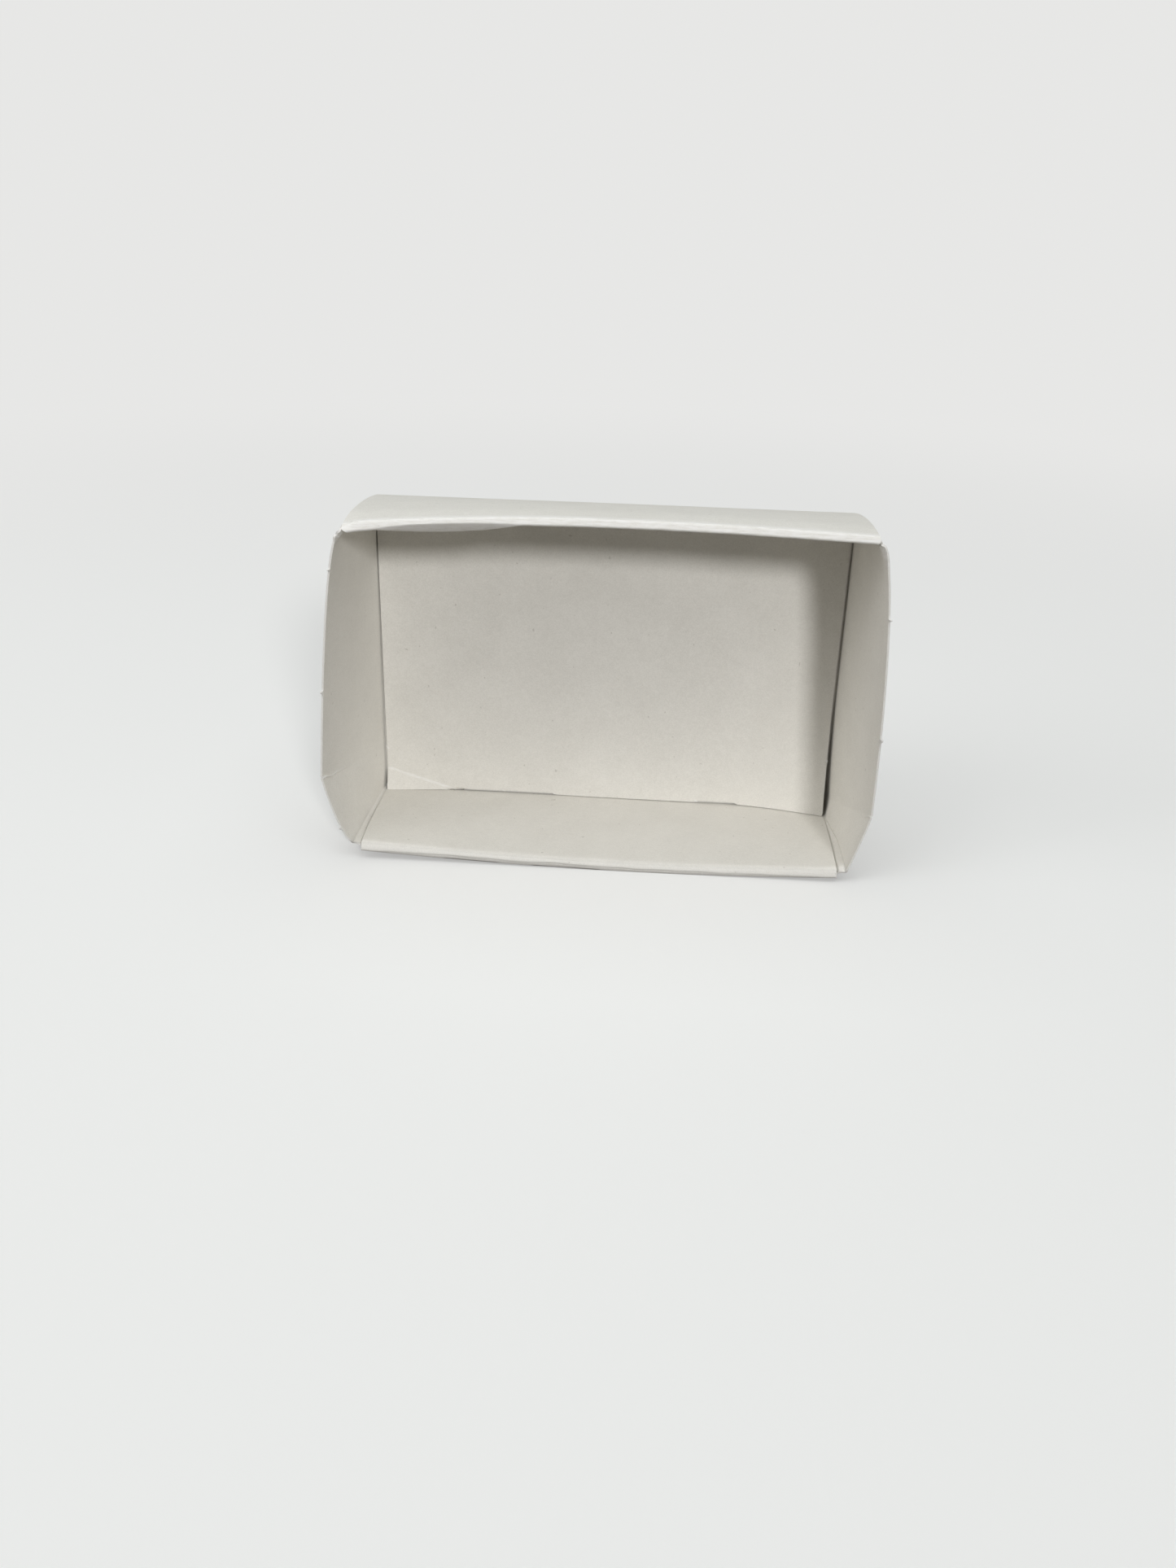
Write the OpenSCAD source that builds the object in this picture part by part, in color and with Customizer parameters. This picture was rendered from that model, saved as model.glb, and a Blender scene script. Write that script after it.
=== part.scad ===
// Tray half of a folding gift box, cut and folded from one sheet of white card.
// It stands on a long wall, as on a shelf, with its mouth towards -Y and its base towards +Y.
// The long walls are rolled over to a double wall, and the tabs of the short walls are tucked
// into them. A flap that hangs from the upper roll covers the base and swings out of the mouth.

/* [Box] */
// Length of the two long walls
box_l = 100; // [80:1:130]
// Height of the base panel, fold to fold
box_h = 70.4; // [55:0.2:95]
// Depth from the rims to the outside of the base
box_d = 32; // [26:0.5:42]
// Gap between the end of a long wall and the inside of a short wall
side_gap = 0.4; // [0.3:0.05:1]
// How much further out the left fold of the base is at its lower end
left_spread = 0.3; // [0:0.1:1]
// How much further out the right fold of the base is at its lower end
right_spread = 0.7; // [0:0.1:1]

/* [Card] */
// Thickness of the card
card_t = 0.4; // [0.3:0.05:0.5]
// Radius of a fold, at the middle of the card
fold_r = 0.35; // [0.3:0.05:0.5]
// Gap between two layers of a rolled wall
layer_gap = 0.4; // [0.25:0.05:0.7]

/* [Upper wall] */
// How far the rim stands above the base at its highest point
top_flare = 4.6; // [2:0.1:7]
// How far the rim drops from there to its left end
top_drop_left = 2.55; // [0:0.05:3]
// How far the rim drops from there to its right end
top_drop_right = 1.15; // [0:0.05:3]
// Outward bow of the wall between base and rim
top_bow = 0.9; // [0:0.1:2]
// How far the inner layer sags at the rim
sag = 1; // [0:0.1:1.5]
// Place of the deepest sag along the wall, from its middle
sag_x = -31; // [-40:1:40]
// Half length of the sag
sag_l = 20; // [10:1:40]
// Depth behind the rim at which the sag ends
sag_d = 14; // [6:1:20]

/* [Lower wall] */
// Place where the bowed rim meets the ground, from the wall's middle
foot_x = 10; // [-20:1:20]
// How far the left end of the rim is off the ground
foot_lift_left = 1.95; // [0:0.05:3]
// How far the right end of the rim is off the ground
foot_lift_right = 1.05; // [0:0.05:3]

/* [Left wall] */
// How far the wall's edge bulges out
left_bulge = 6.6; // [2:0.1:9]
// Height of the kink at the edge
left_kink = 18.5; // [12:0.5:30]
// Height of the kink's end at the base
left_kink_back = 10; // [5:0.5:30]
// Roundness of the bulge above the kink
left_round = 1; // [0.8:0.05:3]
// Roundness of the bulge below the kink
left_fall = 0.62; // [0.5:0.01:1]

/* [Right wall] */
// How far the wall's edge bulges out
right_bulge = 4.4; // [2:0.1:9]
// Height of the kink at the edge
right_kink = 15.5; // [12:0.5:30]
// Height of the kink's end at the base
right_kink_back = 5; // [5:0.5:30]
// Roundness of the bulge above the kink
right_round = 2; // [0.8:0.05:3]
// Roundness of the bulge below the kink
right_fall = 0.77; // [0.5:0.01:1]

/* [Corner tabs] */
// Length of a tab inside the rolled wall
tab_l = 25; // [15:1:35]
// How far the tab's long edges stay inside the wall
tab_inset = 1; // [0.8:0.1:3]
// How much each long edge of a tab slants in towards its end
tab_taper = 1.5; // [0:0.1:4]

/* [Floor flap] */
// Gap between each side edge of the flap and the short wall, at the hinge
flap_side_gap = 0.7; // [0.4:0.1:3]
// Gap between the flap and the base
flap_back_gap = 0.5; // [0.3:0.1:1.5]
// Gap between the flap and the layer that it hangs from, when it lies under it
flap_clear = 0.3; // [0.2:0.05:1]
// Gap between the flap's lower edge and the lower wall
flap_foot_gap = 0.5; // [0.4:0.1:2]
// Width of the bent lower left corner
bend_w = 13.2; // [6:0.1:20]
// Height of the bent lower left corner
bend_h = 4.4; // [2:0.1:8]
// How far the tip of that corner stands forward
bend_out = 2.4; // [0:0.1:4]
// Width of the curl at the lower right corner
curl_w = 18; // [8:1:30]
// Height of the curl at the lower right corner
curl_h = 32; // [12:1:40]
// How far the tip of that corner stands forward
curl_out = 4.2; // [0:0.1:6]

/* [Hidden] */
card_colour = [0.86, 0.85, 0.82];

half_t = card_t / 2;
half_l = box_l / 2;
rim_w = 3 * card_t + 2 * layer_gap;
fold_y = box_d - half_t - fold_r;
base_y = box_d - half_t;
inner_back = box_d - card_t - layer_gap;

// Numbers of cells in a fold, in the panels and along the walls
fold_n = 3;
panel_n = 4;
long_n = 16;
wall_n = 5;
low_n = 4;
high_n = 9;
tab_n = 5;
flap_x_n = 12;
flap_z_n = 8;
bend_n = 4;

// Spacing of the rows towards the lower and upper corners of a short wall
low_crowd = 1.5;
high_crowd = 2;
// Growth of the flap's curl towards its corner
curl_growth = 1.8;

// The box is centred on its outermost bulges and on its depth
left_out = half_l + side_gap + card_t + left_bulge + left_spread * (1 - left_kink / box_h);
right_out = half_l + side_gap + card_t + right_bulge + right_spread * (1 - right_kink / box_h);
centre = [(left_out - right_out) / 2, -box_d / 2, 0];

function mix(a, b, share) = a + (b - a) * share;
function line(a, b, n, first = 0) = [for (i = [first:n]) mix(a, b, i / n)];
function turn(centre, start, first = 0) =
    [for (i = [first:fold_n])
        let (a = start + 90 * i / fold_n)
        centre + fold_r * [cos(a), sin(a)]];

// How near a depth is to the mouth: 1 at the rims, 0 at the base
function mouth_share(y) = max(0, 1 - y / (box_d - card_t));

// How far the lower wall is off the ground at its rim
function foot_lift(x) =
    x < foot_x
        ? foot_lift_left * pow((foot_x - x) / (foot_x + half_l), 2)
        : foot_lift_right * pow((x - foot_x) / (half_l - foot_x), 2);

// How far the upper wall stands above the level of the base
function top_rise(x, y) =
    let (s = mouth_share(y), drop = x < 0 ? top_drop_left : top_drop_right)
    s * (top_flare - drop * pow(x / half_l, 2)) + 4 * top_bow * s * (1 - s);

// Sag of a layer that lies the given distance below the outside of the upper wall
function layer_sag(x, y, below) =
    let (
        along = max(0, 1 - pow((x - sag_x) / sag_l, 2)),
        inward = max(0, 1 - y / sag_d),
        share = min(1, max(0, below - half_t) / (rim_w - card_t))
    )
    sag * share * pow(along, 2) * inward;

// A point of the lower or upper wall, from its depth and its distance inside the outer face
function foot(x, p) = [x, p.x, p.y + foot_lift(x) * mouth_share(p.x)];
function top(x, p) = [x, p.x, box_h - p.y + top_rise(x, p.x) - layer_sag(x, p.x, p.y)];

// Section of a rolled wall: inner layer, rim and outer layer, then the fold to the base
rolled_section = concat(
    line([inner_back, rim_w - half_t], [half_t + fold_r, rim_w - half_t], panel_n),
    turn([half_t + fold_r, rim_w - half_t - fold_r], 90, 1),
    turn([half_t + fold_r, half_t + fold_r], 180),
    line([half_t + fold_r, half_t], [fold_y, half_t], panel_n, 1),
    turn([fold_y, half_t + fold_r], 270, 1)
);

// Rows of the sheet run along the section, columns from one short wall's edge to the other's
first_base = len(rolled_section) - 1;
last_base = first_base + low_n + high_n;
last_row = last_base + first_base;
side_n = wall_n + fold_n;
first_long = side_n + 1;
last_long = first_long + long_n;
last_col = last_long + 1 + side_n;
tab_rows = fold_n + tab_n;

// Short walls: bulge, kink at the edge, kink at the base, two roundnesses, spread of the base
function wall(side) =
    side < 0
        ? [left_bulge, left_kink, left_kink_back, left_round, left_fall, left_spread]
        : [right_bulge, right_kink, right_kink_back, right_round, right_fall, right_spread];

// Middle of a short wall's card where it leaves the base
function base_line(side, z) = half_l + side_gap + half_t + wall(side)[5] * (1 - z / box_h);

// Bulge and height of a short wall in a row, at a depth
function wall_row(side, row, y) =
    let (
        w = wall(side),
        s = mouth_share(y),
        low = rim_w / 2 + fold_r + foot_lift(side * half_l) * s,
        high = box_h - rim_w / 2 - fold_r + top_rise(side * half_l, y),
        kink = mix(w[2], w[1], s),
        up = pow(min(1, row / low_n), low_crowd),
        down = pow(min(1, 1 - (row - low_n) / high_n), high_crowd)
    )
    row <= low_n
        ? [s * w[0] * pow(up, w[4]), mix(low, kink, up)]
        : [s * w[0] * sqrt(1 - pow(1 - down, w[3])), mix(high, kink, down)];

// Depth of a column of a short wall, and how far the fold to the base draws it in
function col_turn(col) = 90 * max(0, col - wall_n) / fold_n;
function col_y(col) = fold_y * min(1, col / wall_n) + fold_r * sin(col_turn(col));
function col_in(col) = fold_r * (1 - cos(col_turn(col)));

// A point of a short wall where it joins the base
function wall_point(side, row, col) =
    let (
        y = col_y(col),
        p = wall_row(side, row, y),
        z_base = wall_row(side, row, base_y)[1]
    )
    [side * (base_line(side, z_base) + p.x - col_in(col)), y, p.y];

// A point of a corner tab, some rows beyond the short wall: first the fold, then the tab
function tab_point(side, beyond, col, is_top) =
    let (
        a = 90 * min(1, beyond / fold_n),
        along = min(1, max(0, beyond - fold_n) / tab_n),
        inset = tab_inset + tab_taper * along,
        tab_y = mix(inset, box_d - card_t - inset, min(1, col / wall_n)),
        x = base_line(side, is_top ? box_h : 0) - fold_r * (1 - cos(a)) - tab_l * along,
        p = [mix(col_y(col), tab_y, a / 90), rim_w / 2 + fold_r * (1 - sin(a))]
    )
    is_top ? top(side * x, p) : foot(side * x, p);

function side_point(side, row, col) =
    row < first_base ? tab_point(side, first_base - row, col, false)
    : row > last_base ? tab_point(side, row - last_base, col, true)
    : wall_point(side, row - first_base, col);

// A point of the long strip: lower wall, base, upper wall
function base_z(row, x) =
    let (share = (x + half_l) / box_l)
    mix(wall_row(-1, row, base_y)[1], wall_row(1, row, base_y)[1], share);
function strip_point(row, x) =
    row <= first_base ? foot(x, rolled_section[row])
    : row >= last_base ? top(x, rolled_section[last_row - row])
    : [x, base_y, base_z(row - first_base, x)];

function tray_point(row, col) =
    col < first_long ? side_point(-1, row, col)
    : col > last_long ? side_point(1, row, last_col - col)
    : strip_point(row, mix(-half_l, half_l, (col - first_long) / long_n));

// The cut blank: the long strip, the base with its short walls, and the corner tabs
tray_blank = function (row, col)
    row >= 0 && row < last_row && col >= 0 && col < last_col && (
        (col >= first_long && col < last_long)
        || (row >= first_base && row < last_base)
        || ((col < wall_n || col >= last_col - wall_n)
            && row >= first_base - tab_rows && row < last_base + tab_rows)
    );

// Floor flap: its place, and the columns and rows of its grid
flap_half = half_l + side_gap - flap_side_gap;
flap_y = box_d - card_t - flap_back_gap - half_t;
hinge_z = box_h - rim_w - flap_clear - half_t;
flap_z = rim_w + flap_foot_gap;
flap_cols = concat(
    line(-flap_half, -flap_half + bend_w, bend_n),
    line(-flap_half + bend_w, flap_half, flap_x_n, 1)
);
flap_rows = concat(
    line(flap_z, flap_z + bend_h, bend_n),
    line(flap_z + bend_h, hinge_z, flap_z_n, 1)
);

// How far the flap stands forward at its bent corner and at its curled one
function bend_at(x, z) = bend_out * max(0, 1 - (x + flap_half) / bend_w - (z - flap_z) / bend_h);
function curl_at(x, z) =
    let (
        across = max(0, 1 - (flap_half - x) / curl_w),
        up = max(0, 1 - (z - flap_z) / curl_h)
    )
    curl_out * pow(across, curl_growth) * pow(up, curl_growth);

flap_blank = function (row, col)
    row >= 0 && row < len(flap_rows) - 1 && col >= 0 && col < len(flap_cols) - 1;

// Sheet of card round a grid of points in its middle; has_card says which cells are card
module card_sheet(grid, has_card) {
    rows = len(grid);
    cols = len(grid[0]);

    near = function (row, col, d_row, d_col)
        let (
            r = d_row < 0 ? row - 1 : row,
            c = d_col < 0 ? col - 1 : col,
            joined = has_card(r, c) || (d_row == 0 ? has_card(r - 1, c) : has_card(r, c - 1))
        )
        joined ? grid[row + d_row][col + d_col] : grid[row][col];
    normal = function (row, col)
        let (
            across = near(row, col, 0, 1) - near(row, col, 0, -1),
            along = near(row, col, 1, 0) - near(row, col, -1, 0),
            n = cross(across, along)
        )
        norm(n) > 0 ? n / norm(n) : [0, 0, 0];

    point = function (row, col, face) 2 * (row * cols + col) + face;
    edge = function (a, b)
        [[a + 1, b + 1, b], [a + 1, b, a]];

    points = [
        for (row = [0:rows - 1], col = [0:cols - 1])
            let (n = normal(row, col) * half_t)
            each [grid[row][col] - n, grid[row][col] + n]
    ];
    faces = [
        for (row = [0:rows - 2], col = [0:cols - 2])
            if (has_card(row, col))
                let (
                    a = point(row, col, 0),
                    b = point(row, col + 1, 0),
                    c = point(row + 1, col + 1, 0),
                    d = point(row + 1, col, 0)
                )
                each concat(
                    [[a, b, d], [b, c, d], [a + 1, d + 1, b + 1], [b + 1, d + 1, c + 1]],
                    has_card(row - 1, col) ? [] : edge(a, b),
                    has_card(row, col + 1) ? [] : edge(b, c),
                    has_card(row + 1, col) ? [] : edge(c, d),
                    has_card(row, col - 1) ? [] : edge(d, a)
                )
    ];
    polyhedron(points, faces);
}

module folded_tray() {
    grid = [for (row = [0:last_row]) [for (col = [0:last_col]) tray_point(row, col)]];
    color(card_colour)
        translate(centre)
            card_sheet(grid, tray_blank);
}

module floor_flap() {
    grid = [
        for (z = flap_rows)
            [for (x = flap_cols) [x, flap_y - bend_at(x, z) - curl_at(x, z), z]]
    ];
    color(card_colour)
        translate(centre)
            card_sheet(grid, flap_blank);
}

folded_tray();
floor_flap();
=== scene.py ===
import math

import bmesh
import bpy
from mathutils import Matrix, Vector, noise
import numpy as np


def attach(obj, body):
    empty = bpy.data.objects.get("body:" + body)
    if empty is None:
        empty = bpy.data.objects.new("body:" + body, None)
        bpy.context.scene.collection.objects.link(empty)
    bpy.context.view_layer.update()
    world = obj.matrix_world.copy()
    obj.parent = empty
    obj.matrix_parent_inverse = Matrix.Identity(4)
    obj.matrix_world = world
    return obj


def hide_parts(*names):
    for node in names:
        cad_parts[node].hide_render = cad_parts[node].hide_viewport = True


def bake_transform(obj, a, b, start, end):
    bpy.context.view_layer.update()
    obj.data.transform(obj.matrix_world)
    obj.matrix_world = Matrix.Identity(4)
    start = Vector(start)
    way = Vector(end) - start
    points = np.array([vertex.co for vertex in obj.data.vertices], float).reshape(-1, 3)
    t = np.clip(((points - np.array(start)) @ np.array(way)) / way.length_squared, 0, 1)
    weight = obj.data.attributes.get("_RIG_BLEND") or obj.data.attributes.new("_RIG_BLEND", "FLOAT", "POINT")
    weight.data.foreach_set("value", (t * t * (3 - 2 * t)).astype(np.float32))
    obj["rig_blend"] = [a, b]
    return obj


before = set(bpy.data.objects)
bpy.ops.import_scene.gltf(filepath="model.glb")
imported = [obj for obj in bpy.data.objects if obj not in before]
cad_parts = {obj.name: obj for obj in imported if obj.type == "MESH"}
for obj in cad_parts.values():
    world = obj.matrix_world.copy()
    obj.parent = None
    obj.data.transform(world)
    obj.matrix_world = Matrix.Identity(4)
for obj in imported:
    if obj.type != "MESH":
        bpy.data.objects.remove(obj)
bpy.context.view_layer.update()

# The tray in millimetres, in its own frame: x along the long walls from their middle,
# y from the rims at 0 back to the base, z up from the ground
MM = 0.001
BOX_L = 100.0
BOX_H = 70.4
BOX_D = 32.0
SIDE_GAP = 0.4
BACK_GAP = 0.4
CARD_T = 0.4
FOLD_R = 0.35
RIM_W = 2.0
HALF_L = BOX_L / 2
HALF_T = CARD_T / 2

# Upper wall: how far it rises from the base to the mouth, how far its rim drops at the left and
# right ends, how the wall bows between base and mouth, and how the rim leans back and wavers;
# a wave is its height, length and seed
TOP_FLARE = 4.6
TOP_DROP = {-1: 2.55, 1: 1.15}
TOP_BOW = 0.9
RIM_LEAN = 0.55
RIM_LEAN_D = 6.0
RIM_DROP = 0.38
RIM_WAVES = ((0.05, 7, 4), (0.03, 2.2, 5))

# Lower wall: where its rim meets the ground, how far its ends are lifted, how its inner layer leans,
# widens and rises to the back left, and how far the corners at the base reach out to the short walls
FOOT_X = 10.0
FOOT_LIFT = {-1: 1.95, 1: 1.05}
LOWER_LEAN = 0.2
INNER_FLARE = {-1: 0.45, 1: 0.2}
INNER_FLARE_D = 10.0
INNER_LIFT = 0.35
INNER_LIFT_L = 60.0
CORNER_OUT = 0.6

# Lower rim: a wavering ridge that ends before the corners, a furrow under it, how far the rim is
# drawn under below it and rounds off above it
RIDGE_AT = {-1: 0.58, 1: 0.42}
RIDGE_TURN = 35.0
RIDGE_HALF = 47.0
RIDGE_WAVES = ((0.09, 9, 1), (0.06, 3, 2))
FURROW = 0.1
FURROW_BELOW = 0.08
FURROW_W = 0.09
FURROW_FROM = 0.2
FURROW_MEAN = 0.6
FURROW_WAVES = ((0.9, 6, 3),)
RIM_UNDER = 0.7
RIM_BACK = 0.4

# Where the upper inner layer sags on the left, and the lower part of the rim is drawn under
SAG = 1.5
SAG_X = -30.5
SAG_L = 13.5
SAG_D = 16.0
SAG_BACK = 1.9
SAG_FROM = 0.76
SAG_HIGHER = 0.14

# Ends of the upper rim: rounded off and hanging lower on the left, standing out on the right
LEFT_END_L = 3.0
LEFT_END_DROP = 0.45
LEFT_END_BACK = 0.5
LEFT_END_OUT = 0.35
LEFT_END_ROUND = 1.1
LEFT_LOW_L = 14.0
LEFT_LOW = 0.35
END_L = 2.0
RIGHT_END_OUT = 0.45
RIGHT_END_ROUND = 0.3
RIGHT_END_MID = 0.9

# Short walls, left and right: bulge, kink at the mouth and at the base, roundness above and below
# the kink, how far the fold of the base spreads at its foot, and the lip at the head's mouth edge
BULGE = {-1: 6.6, 1: 4.79}
KINK = {-1: 18.5, 1: 15.5}
KINK_BACK = {-1: 12.5, 1: 5.0}
ROUND = {-1: 1.0, 1: 2.0}
FALL = {-1: 0.66, 1: 0.93}
SPREAD = {-1: 0.3, 1: 0.2}
HEAD_DROP = {-1: 0.8, 1: 0.6}
HEAD_D = 9.0
HEAD_OUT = 0.15
LIP_OUT = 0.3
LIP_IN = {-1: 0.6, 1: 0.65}
LIP_D = 9.0
LIP_H = {-1: 3.0, 1: 6.0}
LIP_W = 0.95

# Crease that a kink leaves in the card: how far it stands in, how whitened it is as rubbed card and as
# painted highlight along the crease, how deep it runs, how it swells along its run, and how it and the rows
# beside it waver up and down
CREASE_IN = {-1: 0.5, 1: 0.2}
CREASE_WEAR_AND_HIGHLIGHT = {-1: 0.9, 1: 0.5}
CREASE_D = {-1: 14.0, 1: 7.0}
CREASE_SWELL = 0.25
CREASE_SWELL_L = 11.0
CREASE_WAVES = ((0.7, 3.1, 7),)
CREASE_BAND = 0.51

# Corner tabs inside the rolled walls
TAB_L = 25.0
TAB_INSET = 1.0
TAB_TAPER = 1.5
TAB_FOLD_R = {-1: 0.6, 1: 0.22}

# Strip of a lower tab that shows beside the lower inner layer: how far its fold stands out near
# the base and at the mouth, how far it rises at the mouth and at the base, the tab's level under
# the layer, where the strip dips under the layer's edge, how its nose reaches forward and turns
# down at the mouth with the foot of the wall, and how deep the crease along its fold is pressed
STRIP_W = 1.4
STRIP_LEAST = 0.1
STRIP_FROM = 27.0
STRIP_TO = 12.0
STRIP_BACK = {-1: 0.5, 1: 0.0}
STRIP_OUT = {-1: 1.1, 1: 1.2}
STRIP_RISE = {-1: 0.95, 1: 1.1}
STRIP_RISE_BACK = {-1: 1.6, 1: 0.9}
TAB_UNDER = 0.75
DIP_TO = 0.3
DIP_SHARE = 0.6
NOSE_FORE = {-1: 0.0, 1: 0.7}
NOSE_DROP = {-1: 0.2, 1: 0.4}
NOSE_FOOT = {-1: 0.0, 1: 0.35}
NOSE_D = {-1: 2.2, 1: 1.8}
GROOVE = {-1: 0.0, 1: 0.3}

# Floor flap: its half width and how far its side edges are cut in at the head and the foot, its
# place, its lower edge, the bent corner on the left with the rubbed band along its bend, and the
# curled corner on the right
FLAP_HALF = 50.2
FLAP_IN_HEAD = {-1: 0.0, 1: 0.25}
FLAP_IN_FOOT = {-1: 0.0, 1: 0.3}
FLAP_Y = 30.9
FLAP_FOOT = 2.3
FLAP_CORNER_R = 0.5
FOOT_TILT = {-1: 0.2, 1: -0.06}
FOOT_TILT_L = 60.0
FLAP_LIFT = 0.35
FLAP_LIFTED = ((-36.0, -22.9), (-22.9, -11.7), (21.7, 30.7))
FLAP_START = 30.2
FLAP_ROOT_H = 0.8
HINGE_Z = 67.9
BEND_W = 16.5
BEND_H = 5.2
BEND_OUT = 2.0
BEND_CUTS = (-0.45, -0.2, 0.2, 0.45)
BEND_RUB_W = 0.26
BEND_RUB_UP = 0.1
BEND_WEAR = 0.9
CURL_W = 23.0
CURL_H = 32.0
CURL_OUT = 4.2
CURL_ACROSS = 1.6
CURL_UP = 1.8

# Places on the folded sheet
FOLD_IN = HALF_T + FOLD_R
FOLD_Y = BOX_D - HALF_T - FOLD_R
BASE_Y = BOX_D - HALF_T
INNER_BACK = BOX_D - CARD_T - BACK_GAP
WALL_LOW = RIM_W / 2 + FOLD_R
WALL_HIGH = BOX_H - WALL_LOW
KINK_ROW = 8.0
WALL_X = HALF_L + SIDE_GAP + HALF_T

# How close to a place of the flat sheet a vertex counts as lying on it, and how close a cut
# through the flap is moved to a vertex or merged with it
TINY = 0.001
ON_ROW = 0.01
CUT_SNAP = 0.05
CUT_MERGE = 0.06

# Numbers of steps in the mesh, how rows crowd towards folds, and the rows beside a kink
LONG_N = 160
DEPTH_N = 20
RIM_N = 14
CREASE_N = 5
LOW_N = 10
LOW_CROWD = 1.5
HIGH_N = 56
HIGH_CROWD = 2
KINK_ROWS = (-0.5, -0.25, -0.13, 0.25, 0.5, 1.1)
WALL_N = 28
WALL_CROWD = 1.4
TAB_N = 8
STRIP_N = 10
FLAP_N = 110
FLAP_ROOT_N = 5
FLAP_DOWN_N = 60
CORNER_N = 4
NICK_N = 4


# How far a short wall's bulge reaches out, and the shift in x that brings the middle between the
# two to the origin of the shared frame
def reach(side):
    spread = SPREAD[side] * (1 - KINK[side] / BOX_H)
    return WALL_X + HALF_T + BULGE[side] + spread


MID_X = (reach(-1) - reach(1)) / 2


def mix(a, b, share):
    return a + (b - a) * share


def mouth_share(y):
    return max(0.0, 1 - y / (BOX_D - CARD_T))


def foot_lift(x):
    side = -1 if x < FOOT_X else 1
    return FOOT_LIFT[side] * ((x - FOOT_X) / (side * HALF_L - FOOT_X)) ** 2


def top_rise(x, y):
    s = mouth_share(y)
    drop = TOP_DROP[-1 if x < 0 else 1]
    return s * (TOP_FLARE - drop * (x / HALF_L) ** 2) + 4 * TOP_BOW * s * (1 - s)


# How far down a rim a level lies: 0 at the outer layer, 1 at the inner one
def rim_share(inside):
    return min(1.0, max(0.0, (inside - HALF_T) / (RIM_W - CARD_T)))


def sag_share(x, y, inside):
    along = max(0.0, 1 - ((x - SAG_X) / SAG_L) ** 2)
    inward = max(0.0, 1 - max(0.0, y - FOLD_IN) / SAG_D)
    ridge = SAG_FROM - SAG_HIGHER * along
    share = max(0.0, rim_share(inside) - ridge) / (1 - ridge)
    return share * along * inward


def ripple(at, waves):
    return sum(
        high * noise.noise(Vector((at / length, seed, 0.5))) for high, length, seed in waves
    )


def ease(share):
    share = min(1.0, max(0.0, share))
    return share * share * (3 - 2 * share)


# Operators on a row of edges of the sheet
def verts_of(edges):
    return list({v for e in edges for v in e.verts})


def first_row(bm, start, end, segments):
    edge = bm.edges.new([bm.verts.new(start), bm.verts.new(end)])
    bmesh.ops.subdivide_edges(bm, edges=[edge], cuts=segments - 1)
    return bm.edges[:]


def push(bm, row, move, steps=1):
    for _ in range(steps):
        grown = bmesh.ops.extrude_edge_only(bm, edges=row)["geom"]
        verts = [g for g in grown if isinstance(g, bmesh.types.BMVert)]
        bmesh.ops.translate(bm, verts=verts, vec=Vector(move) / steps)
        row = [g for g in grown if isinstance(g, bmesh.types.BMEdge)]
    return row


def crease(bm, row, centre, axis, degrees):
    turned = bmesh.ops.spin(
        bm,
        geom=verts_of(row) + row,
        cent=centre,
        axis=axis,
        angle=math.radians(degrees),
        steps=CREASE_N,
    )
    return [g for g in turned["geom_last"] if isinstance(g, bmesh.types.BMEdge)]


def new_sheet():
    bm = bmesh.new()
    bm.verts.layers.float.new("wear_and_highlight")
    return bm


# Wear is 0 on clean card and 1 where a fold or an edge is rubbed to white fibres; on the rims, along the
# kink creases and at some rounded ends this whitening is also painted highlight
def whiten_spot(bm, centre, radius, amount):
    layer = bm.verts.layers.float["wear_and_highlight"]
    for v in bm.verts:
        share = ease(1 - (v.co - Vector(centre)).length / radius)
        v[layer] = max(v[layer], amount * share)


def whiten_verts(bm, verts, amount):
    layer = bm.verts.layers.float["wear_and_highlight"]
    for v in verts:
        v[layer] = max(v[layer], amount)


# A torn bridge of the cutting die: a stub that stands out of the nearest cut edge
def nick(bm, near, out):
    near = Vector(near)
    edge = min(
        (e for e in bm.edges if e.is_boundary),
        key=lambda e: ((e.verts[0].co + e.verts[1].co) / 2 - near).length,
    )
    parts = bmesh.ops.subdivide_edges(bm, edges=[edge], cuts=NICK_N)["geom_inner"]
    stub = [g for g in parts if isinstance(g, bmesh.types.BMVert)]
    stub.sort(key=lambda v: (v.co - near).length)
    bmesh.ops.translate(bm, verts=stub[:2], vec=out)
    whiten_verts(bm, stub, 1.0)


def fresh(bm, known):
    found = [v for v in bm.verts if v not in known]
    known.update(found)
    return found


def edges_where(bm, test):
    return [e for e in bm.edges if e.is_boundary and all(test(v.co) for v in e.verts)]


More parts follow.
